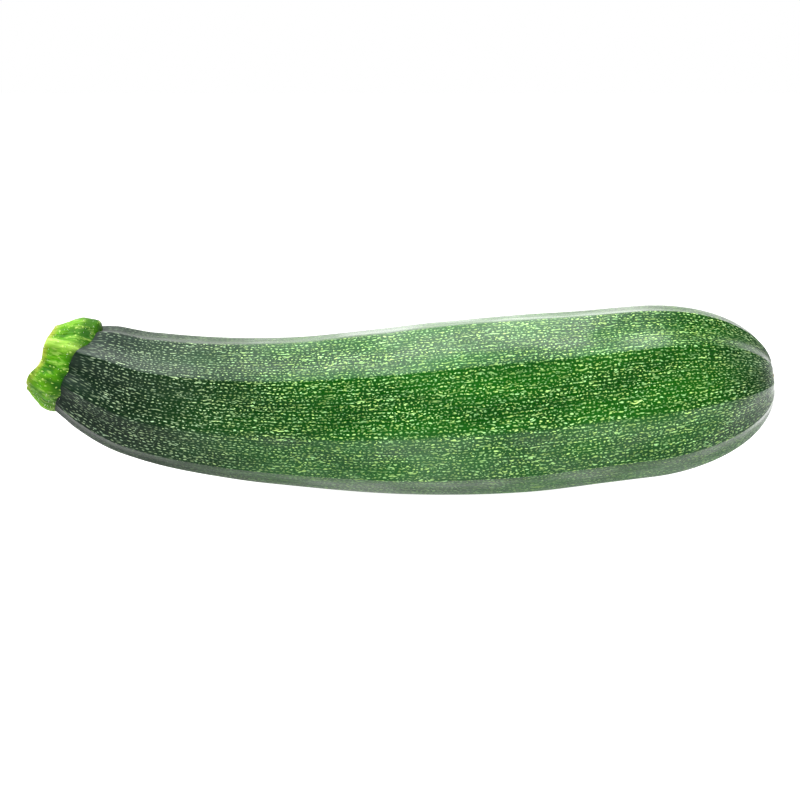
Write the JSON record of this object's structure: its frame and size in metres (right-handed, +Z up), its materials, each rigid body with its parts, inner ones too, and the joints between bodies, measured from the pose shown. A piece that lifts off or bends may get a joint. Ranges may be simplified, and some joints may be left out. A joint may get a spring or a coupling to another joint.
{
  "type": "courgette",
  "caption": "Whole green speckled courgette, slightly curved and ribbed, with a short cut stalk, lying on its belly.",
  "frame": {"origin": "middle of the bounding box's underside, on the surface that the courgette lies on", "axes": "+X along the fruit from the stalk to the blossom end, +Z up, -Y towards the viewer's side; the fruit's bend is in the XZ plane with both ends up"},
  "size_m": [0.1902, 0.0454, 0.0472],
  "materials": {
    "skin": null,
    "stalk": null
  },
  "bodies": {
    "root": {"fruit": "skin", "stalk": "stalk"}
  },
  "joints": []
}
